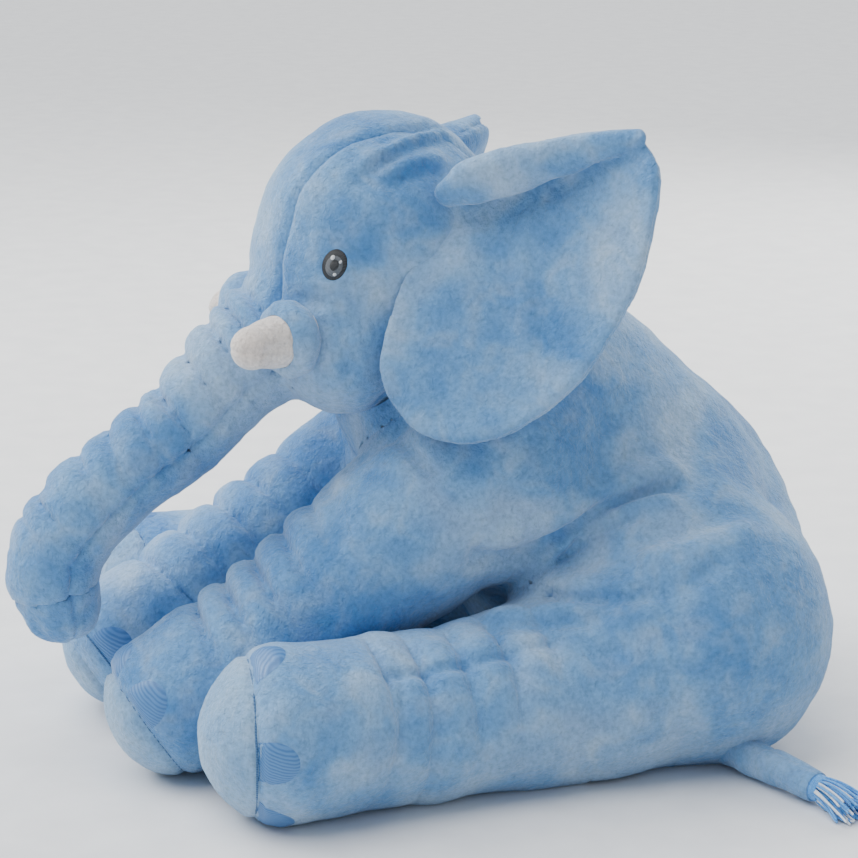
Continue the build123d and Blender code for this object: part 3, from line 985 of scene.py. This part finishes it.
class PLUSH_OT_head(bpy.types.Operator):
    """Sews the head: two side panels and the gusset over the forehead between them"""
    bl_idname = "plush.head"
    bl_label = "Head"

    def execute(self, context):
        start, way = point(NECK_END), unit((0, -0.75, 0.66))
        parts = (("left_panel", lambda m: head_part(m, 1), ("head_left_panel", "head_fill")),
                 ("right_panel", lambda m: head_part(m, -1), ("head_right_panel",)),
                 ("gusset", gusset_part, ("head_gusset",)))
        for name, keep, nodes in parts:
            obj = covered(f"cover_head_{name}", "face", keep, nodes[0], grow=20)
            dressed(obj, "plush", None, nodes)
            bending(obj, start + way * NECK_FROM)
        return {"FINISHED"}


class PLUSH_OT_trunk(bpy.types.Operator):
    """Sews the trunk: upper and under panels of both lengths, and the gathered end cap"""
    bl_idname = "plush.trunk"
    bl_label = "Trunk"

    def execute(self, context):
        root, way = point(TRUNK_ROOT), point(TRUNK_AXIS)
        for tip, body, owner, start, end in ((False, "trunk", "head", TRUNK_CUT, 90),
                                             (True, "trunk_tip", "trunk", TIP_CUT, 167)):
            for under, panel in ((False, "upper_panel"), (True, "under_panel")):
                node_name = f"{body}_{panel}"
                whole = (f"{body}_upper_panel", f"{body}_under_panel")
                obj = covered(f"cover_{node_name}", "face", trunk_panel(under, tip), *whole, grow=44)
                nodes = (node_name,) if under else (node_name, f"{body}_fill")
                dressed(obj, "plush", None, nodes)
                bending(obj, root + way * start)
        cap = covered("cover_trunk_end", "face", cap_part, "trunk_end_cap")
        dressed(cap, "plush", "trunk_tip", ("trunk_end_cap",))
        return {"FINISHED"}


class PLUSH_OT_ears(bpy.types.Operator):
    """Sews the cupped ears, each a front and a back panel with its top edge rolled forward"""
    bl_idname = "plush.ears"
    bl_label = "Ears"

    def execute(self, context):
        side = unit(EAR_SIDE)
        for panel, front in (("front_panel", True), ("back_panel", False)):
            verts, faces = local_skin(ear_fields(front), (-24, -130, -34), (174, 106, 46), EAR_CELL)
            left = mesh_object(f"ear_left_{panel}_cover", ear_place(verts) * MM, faces)
            flopped = verts.copy()
            flopped[:, 1] = np.where(verts[:, 1] > 0, verts[:, 1] * FLOP, verts[:, 1])
            resting = mesh_object("resting_ear", ear_place(flopped) * MM, faces)
            right = mirrored(resting, f"ear_right_{panel}_cover")
            bpy.data.objects.remove(resting)
            for obj, name, sign in ((left, "ear_left", 1), (right, "ear_right", -1)):
                at, way = point(EAR_AT) * (sign, 1, 1), side * (sign, 1, 1)
                nodes = (f"{name}_{panel}", f"{name}_wadding") if front else (f"{name}_{panel}",)
                dressed(obj, "plush", None, nodes)
                bending(obj, at)
        return {"FINISHED"}


TUSK_R = (18, 17.5, 14.5)       # root, middle and tip
CUFF_R, CUFF_AT, CUFF_THICK = 17.5, 17, 8.5
TUSK_ROOM = 32                  # space left round a tusk for its cuff


class PLUSH_OT_tusks(bpy.types.Operator):
    """Sews the two stubby cream tusks and the padded cuffs round them"""
    bl_idname = "plush.tusks"
    bl_label = "Tusks"

    def execute(self, context):
        for side, tip in TUSK_TIPS.items():
            root, tip = point(TUSK_ROOT), point(tip)
            way = unit(tip - root)

            def tusk(p, root=root, tip=tip):
                m = measures(p, False)
                places = (root, root + (tip - root) * 0.55, tip)
                stub, _, angle = strung(p, list(zip(places, TUSK_R)))
                pinch = 1.0 * groove((np.abs(angle) - 1.57) * 12, 1.6)
                return stub + pinch + 0.4 * lumps(p, 14, 9), -m["face"] - 6

            def cuff(p, root=root, way=way):
                m = measures(p, False)
                along = (p - root) @ way
                round_it = np.linalg.norm(p - root - np.outer(along, way), axis=1)
                ring = np.hypot(round_it - CUFF_R, (along - CUFF_AT) * 0.8) - CUFF_THICK
                return ring + 0.6 * lumps(p, 13, 10), most(-m["face"] - 6, 0.3 - tusk(p)[0])

            lo, hi = np.minimum(root, tip) - TUSK_ROOM, np.maximum(root, tip) + TUSK_ROOM
            for piece, shape, kind, slot, parts in (
                    ("cover", tusk, "cream", "tusk_plush", ("cover", "fill")),
                    ("cuff", cuff, "plush", "blue_plush", ("cuff",))):
                verts, faces = local_skin(shape, lo, hi, FINE_CELL)
                if side == "right":
                    verts, faces = verts * (-1, 1, 1), [tuple(face)[::-1] for face in faces]
                obj = mesh_object(f"tusk_{side}_{piece}_sewn", verts * MM, faces)
                nodes = [f"tusk_{side}_{part}" for part in parts]
                dressed(obj, kind, "head", nodes)
        return {"FINISHED"}


EYE_ACROSS, EYE_TURN = (8.3, 10.3), -0.32
# each layer of an eye: material, centre, radii (as shares of the eye), lift
EYE_LAYERS = [("outline", (0, 0), (1.0, 1.0), 1.0), ("iris", (0.02, -0.04), (0.82, 0.8), 1.5),
              ("outline", (0.06, 0.02), (0.5, 0.5), 1.9), ("glint", (-0.28, 0.42), (0.2, 0.17), 2.3),
              ("glint", (0.42, 0.34), (0.12, 0.12), 2.2), ("glint", (0.34, -0.5), (0.16, 0.13), 2.2)]


class PLUSH_OT_eyes(bpy.types.Operator):
    """Embroiders the eyes in satin stitch"""
    bl_idname = "plush.eyes"
    bl_label = "Eyes"

    def execute(self, context):
        height = context.scene.plush_sizes.embroidery / MM
        centre, eye = point(HEAD[0][0]), point(EYE_AT)
        out = unit(eye - centre)
        side = unit(np.cross((0, 0, 1), out))
        up = np.cross(out, side)

        def surface(p):
            return measures(p, True)["face"]

        def place(a, b):
            origin = centre + side * a + up * b
            return origin, out

        names = ("rim", "iris", "pupil", "glint_large", "glint_small", "glint_low")
        for label, (kind, middle, share, lift) in zip(names, EYE_LAYERS):
            def outline(turn, middle=middle, share=share):
                a = math.cos(2 * math.pi * turn) * EYE_ACROSS[0] * share[0]
                b = math.sin(2 * math.pi * turn) * EYE_ACROSS[1] * share[1]
                a, b = a + middle[0] * EYE_ACROSS[0], b + middle[1] * EYE_ACROSS[1]
                c, s = math.cos(EYE_TURN), math.sin(EYE_TURN)
                return np.array([a * c - b * s, a * s + b * c])
            left = patch(f"eye_left_{label}", surface, place, outline, height * lift)
            right = mirrored(left, f"eye_right_{label}")
            for obj, name in ((left, "eye_left"), (right, "eye_right")):
                dressed(obj, kind, "head", (name,) if label == "rim" else ())
        return {"FINISHED"}


NAILS = {"front_leg": (-62, -4, 54), "hind_leg": (7, 88, 145)}
NAIL_HALF_WIDTH, NAIL_LENGTH = 16.5, 22.5
THREAD_R = 0.8
NAIL_FLOOR = 0.0003             # lowest a nail under a foot may reach, in metres
REACH = 90                      # how far out a limb's or the head's surface is looked for


def sole_edge(leg, foot, way, out, back=0.0):
    """A point inside the foot: followed outwards it meets the skin, back millimetres behind the seam."""
    if leg == "front_leg":
        return foot + way * (FRONT_SOLE - back)
    seam = unit(HIND_SOLE_OUT)
    return foot + way * (((point(HIND_SOLE_AT) - foot - out * HIND_FOOT_R) @ seam) / (way @ seam) - back)


class PLUSH_OT_toenails(bpy.types.Operator):
    """Embroiders the D-shaped toenails, with their flat edges on the soles' seams"""
    bl_idname = "plush.toenails"
    bl_label = "Toenails"

    def execute(self, context):
        height = context.scene.plush_sizes.embroidery / MM
        for leg, knots, field in (("front_leg", FRONT_LEG, "front"), ("hind_leg", HIND_LEG, "hind")):
            root, foot = point(knots[0][0]), point(knots[-1][0])
            ball = knots[-1][1]
            way = unit(foot - root)
            top = unit(point((0, 0, 1)) - way * way[2])
            across = np.cross(way, top)
            across = across if across[0] > 0 else -across

            def surface(p, field=field):
                return measures(p, True)[field]

            for side, sign in (("left", 1), ("right", -1)):
                parts = []
                for angle in NAILS[leg]:
                    def place(a, b, angle=angle, sign=sign):
                        turn = math.radians(angle) + a / ball
                        out = top * math.cos(turn) + across * math.sin(turn)
                        return sole_edge(leg, foot, way, out, b) * (sign, 1, 1), out * (sign, 1, 1)

                    def outline(turn):
                        if turn < 0.3:
                            return np.array([NAIL_HALF_WIDTH * (1 - 2 * turn / 0.3), 0.6])
                        swing = math.pi * (turn - 0.3) / 0.7
                        return np.array([-NAIL_HALF_WIDTH * math.cos(swing),
                                         0.6 + NAIL_LENGTH * math.sin(swing)])
                    obj = patch(f"nail_{leg}_{side}_{len(parts) + 1}", surface, place, outline, height)
                    if min(v.co.z for v in obj.data.vertices) < 0:
                        for v in obj.data.vertices:
                            v.co.z = max(v.co.z, NAIL_FLOOR)
                    dressed(obj, "nail", f"{leg}_{side}")
                    parts.append(obj)
                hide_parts(f"{leg}_{side}_toenails")

                turns = np.linspace(0, 2 * math.pi, 73)
                outs = [top * math.cos(turn) + across * math.sin(turn) for turn in turns]
                inside = [sole_edge(leg, foot, way, out) * (sign, 1, 1) for out in outs]
                outs = np.array(outs) * (sign, 1, 1)
                line = on_surface(surface, np.array(inside), outs, REACH)
                line[:, 2] = np.maximum(line[:, 2], 0.9)
                ring = together(f"sole_seam_{leg}_{side}", [tube(list(line), [THREAD_R] * len(line), 6)])
                dressed(ring, "seam", f"{leg}_{side}")
        return {"FINISHED"}


TAIL_SPACE = (np.array([120, -30, -4]), np.array([282, 60, 40]))
TAIL_CELL = 2.0
BINDING_TURNS, BINDING_R = 5, 8.2
TASSEL_R, TASSEL_LENGTHS = 7.2, (30, 42)
YARN_SHARES = (("blue_yarn", 0.68), ("white_yarn", 0.32))


class PLUSH_OT_tail(bpy.types.Operator):
    """Sews the tail, and ties on its tassel of blue and white yarn"""
    bl_idname = "plush.tail"
    bl_label = "Tail"

    def execute(self, context):
        sizes = context.scene.plush_sizes
        end, toward = point(TAIL[-1][0]), unit(point(TAIL[-1][0]) - point(TAIL[-2][0]))

        def tail(p):
            stem, along, angle = strung(p, TAIL)
            wrinkle = gathers(along, angle, [(38, 2, 5, 0, 90, 2), (70, 2.2, 5, 10, 90, -3)])
            surface = stem + wrinkle + 0.8 * lumps(p, 20, 11) + 1.5 * groove(np.abs(angle) * 12, 1.8)
            return np.maximum(surface, -p[:, 2]), (p - end) @ toward - 4

        verts, faces = local_skin(tail, *TAIL_SPACE, TAIL_CELL)
        dressed(mesh_object("tail_cover_sewn", verts * MM, faces), "plush", "tail",
                ("tail_cover", "tail_fill"))

        rng = random.Random(5)
        side = unit(np.cross(toward, (0, 0, 1)))
        up = np.cross(side, toward)
        wraps = []
        for turn in range(BINDING_TURNS):
            middle = end + toward * (4.0 + 1.3 * turn)
            ring = [middle + (side * math.cos(a) + up * math.sin(a)) * BINDING_R
                    for a in np.linspace(0, 2 * math.pi, 31)]
            wraps.append(tube(ring, [THREAD_R] * len(ring), 8))
        dressed(together("tail_binding_thread", wraps), "blue_yarn", "tail",
                ("tail_binding",))

        for colour, share in YARN_SHARES:
            strands = []
            for _ in range(int(sizes.tassel_strands * share)):
                a, r = rng.uniform(0, 2 * math.pi), TASSEL_R * math.sqrt(rng.random())
                length = rng.uniform(*TASSEL_LENGTHS)
                fan = side * math.cos(a) + up * math.sin(a)
                bend = rng.uniform(-3, 3)
                line = []
                for step in range(9):
                    t = step / 8
                    spread = r * (1 + 1.1 * t) + bend * math.sin(3 * t)
                    centre = end + toward * (3 + length * t) + fan * spread
                    centre = centre + np.array([0, 0, -7.5 * t * t])
                    centre[2] = max(centre[2], 1.1 + 2.0 * rng.random() * t)
                    line.append(centre)
                half = sizes.strand / MM / 2
                strands.append(tube(line, [half * (1 - 0.25 * step / 8) for step in range(9)], 6))
            dressed(together(f"tassel_{colour}", strands), colour, "tail",
                    ("tail_tassel",) if colour == "blue_yarn" else ())
        return {"FINISHED"}


# ---- stage ------------------------------------------------------------------------------------
CAMERA_AT, CAMERA_LOOKS_AT = (1.743, -0.745, 0.663), (0, -0.145, 0.203)
SKY, DAYLIGHT = 0.5, 3.6
FLOOR_HALF = 6                  # half of the floor's side, in metres
# each lamp: name, place, size in metres, watts, colour
LAMPS = (("window_left", (-1.5, -1.6, 1.5), 1.5, 44, "FFFDF8"),
         ("window_right", (-1.4, 1.6, 1.3), 1.5, 40, "FFFDF8"),
         ("fill", (2.4, -0.6, 1.4), 1.8, 3, "F3F8FF"))


class PLUSH_OT_stage(bpy.types.Operator):
    """Sets the pale floor, the soft studio light and the camera"""
    bl_idname = "plush.stage"
    bl_label = "Stage"

    def execute(self, context):
        corners = [(x * FLOOR_HALF, y * FLOOR_HALF, 0) for x, y in ((-1, -1), (1, -1), (1, 1), (-1, 1))]
        floor = mesh_object("floor", corners, [(0, 1, 2, 3)], False)
        material, tree, shader = new_material("matt_white_floor", 0.55, Specular_IOR_Level=0.3)
        at = node(tree, "ShaderNodeTexCoord").outputs["Object"]
        grain = noise(tree, at, 40, 3.0, 0.5).outputs["Fac"]
        tree.links.new(ramp(tree, grain, [(0.3, "E6E8EB"), (0.7, "EEF0F2")]).outputs["Color"],
                       shader.inputs["Base Color"])
        floor.data.materials.append(material)

        world = context.scene.world or bpy.data.worlds.new("studio")
        context.scene.world = world
        world.use_nodes = True
        sky = world.node_tree.nodes["Background"]
        sky.inputs["Color"].default_value = (*linear("F4F7FB"), 1)
        sky.inputs["Strength"].default_value = SKY

        daylight = bpy.data.lights.new("ceiling", "SUN")
        daylight.energy, daylight.angle = DAYLIGHT, math.radians(70)
        ceiling = bpy.data.objects.new("ceiling", daylight)
        ceiling.rotation_euler = (math.radians(22), math.radians(-12), 0)
        context.scene.collection.objects.link(ceiling)

        for name, place, size, power, colour in LAMPS:
            light = bpy.data.lights.new(name, "AREA")
            light.size, light.energy, light.color = size, power, linear(colour)
            lamp = bpy.data.objects.new(name, light)
            lamp.location = place
            aim = Vector((0, -0.15, 0.2)) - Vector(place)
            lamp.rotation_euler = aim.to_track_quat("-Z", "Y").to_euler()
            context.scene.collection.objects.link(lamp)

        camera = bpy.data.objects.new("camera", bpy.data.cameras.new("camera"))
        camera.data.sensor_width, camera.data.lens = 36, 114
        camera.location = CAMERA_AT
        looks = Vector(CAMERA_LOOKS_AT) - Vector(CAMERA_AT)
        camera.rotation_euler = looks.to_track_quat("-Z", "Y").to_euler()
        context.scene.collection.objects.link(camera)
        context.scene.camera = camera
        return {"FINISHED"}


OPERATORS = (PLUSH_OT_torso, PLUSH_OT_legs, PLUSH_OT_head, PLUSH_OT_trunk, PLUSH_OT_ears, PLUSH_OT_tusks,
             PLUSH_OT_eyes, PLUSH_OT_toenails, PLUSH_OT_tail, PLUSH_OT_stage)


class PLUSH_PT_sewing(bpy.types.Panel):
    """Lists the pieces of the plush elephant"""
    bl_label = "Plush Elephant"
    bl_idname = "PLUSH_PT_sewing"
    bl_space_type = "VIEW_3D"
    bl_region_type = "UI"
    bl_category = "Plush"

    def draw(self, context):
        for group in (context.scene.plush_sizes, context.scene.plush_colours):
            for key in group.__annotations__:
                self.layout.prop(group, key)
        for operator in OPERATORS:
            self.layout.operator(operator.bl_idname)


CLASSES = (Sizes, Colours, *OPERATORS, PLUSH_PT_sewing)


def register():
    for cls in CLASSES:
        bpy.utils.register_class(cls)
    bpy.types.Scene.plush_sizes = PointerProperty(type=Sizes)
    bpy.types.Scene.plush_colours = PointerProperty(type=Colours)


def unregister():
    del bpy.types.Scene.plush_colours
    del bpy.types.Scene.plush_sizes
    for cls in reversed(CLASSES):
        bpy.utils.unregister_class(cls)


def main():
    register()
    for operator in OPERATORS:
        group, name = operator.bl_idname.split(".")
        getattr(getattr(bpy.ops, group), name)()
    bpy.context.view_layer.update()


if __name__ == "__main__":
    main()
